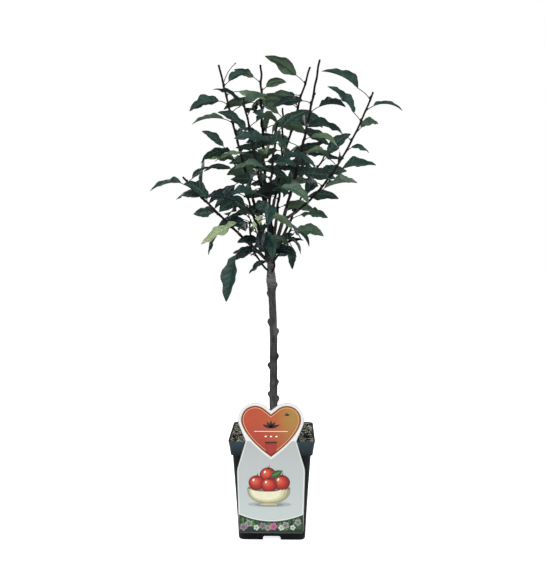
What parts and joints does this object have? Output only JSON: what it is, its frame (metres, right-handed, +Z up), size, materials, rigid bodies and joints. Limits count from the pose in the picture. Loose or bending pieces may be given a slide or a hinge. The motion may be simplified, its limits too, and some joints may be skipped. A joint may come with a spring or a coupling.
{
  "type": "dwarf apple tree in a pot",
  "caption": "Young dwarf apple tree with a bare grafted stem and a head of long leafy whips, in a square tapering nursery pot with a hanging picture card.",
  "frame": {"origin": "middle of the pot's flat underside, on the ground", "axes": "+Z up, along the trunk; the card hangs on the -Y side, which is the front; +X to the right seen from the front"},
  "size_m": [0.5374, 0.4447, 1.0596],
  "materials": {
    "pot_plastic": "semi-matt moulded charcoal plastic, a little glossy on the collar",
    "soil": "rough bark-based potting soil",
    "card": "printed plastic card, satin",
    "bark": "smooth young bark with pores and pruned stubs, greyer at the graft",
    "foliage": "satin dark green leaves, paler and duller underneath"
  },
  "bodies": {
    "root": {"pot": "pot_plastic", "soil": "soil", "card": "card", "trunk": "bark", "bough_centre": "bark", "bough_left": "bark", "bough_inner": "bark", "bough_right_back": "bark", "bough_right": "bark", "bough_arching": "bark", "bough_low_left": "bark", "bough_back": "bark", "bough_front": "bark", "bough_back_right": "bark", "bough_back_left": "bark", "bough_low_front": "bark", "foliage_centre": "foliage", "foliage_left": "foliage", "foliage_inner": "foliage", "foliage_right_back": "foliage", "foliage_right": "foliage", "foliage_arching": "foliage", "foliage_low_left": "foliage", "foliage_back": "foliage", "foliage_front": "foliage", "foliage_back_right": "foliage", "foliage_back_left": "foliage", "foliage_low_front": "foliage", "foliage_spur_left": "foliage", "foliage_spur_right": "foliage", "foliage_spur_front": "foliage", "foliage_spur_back": "foliage"}
  },
  "joints": []
}
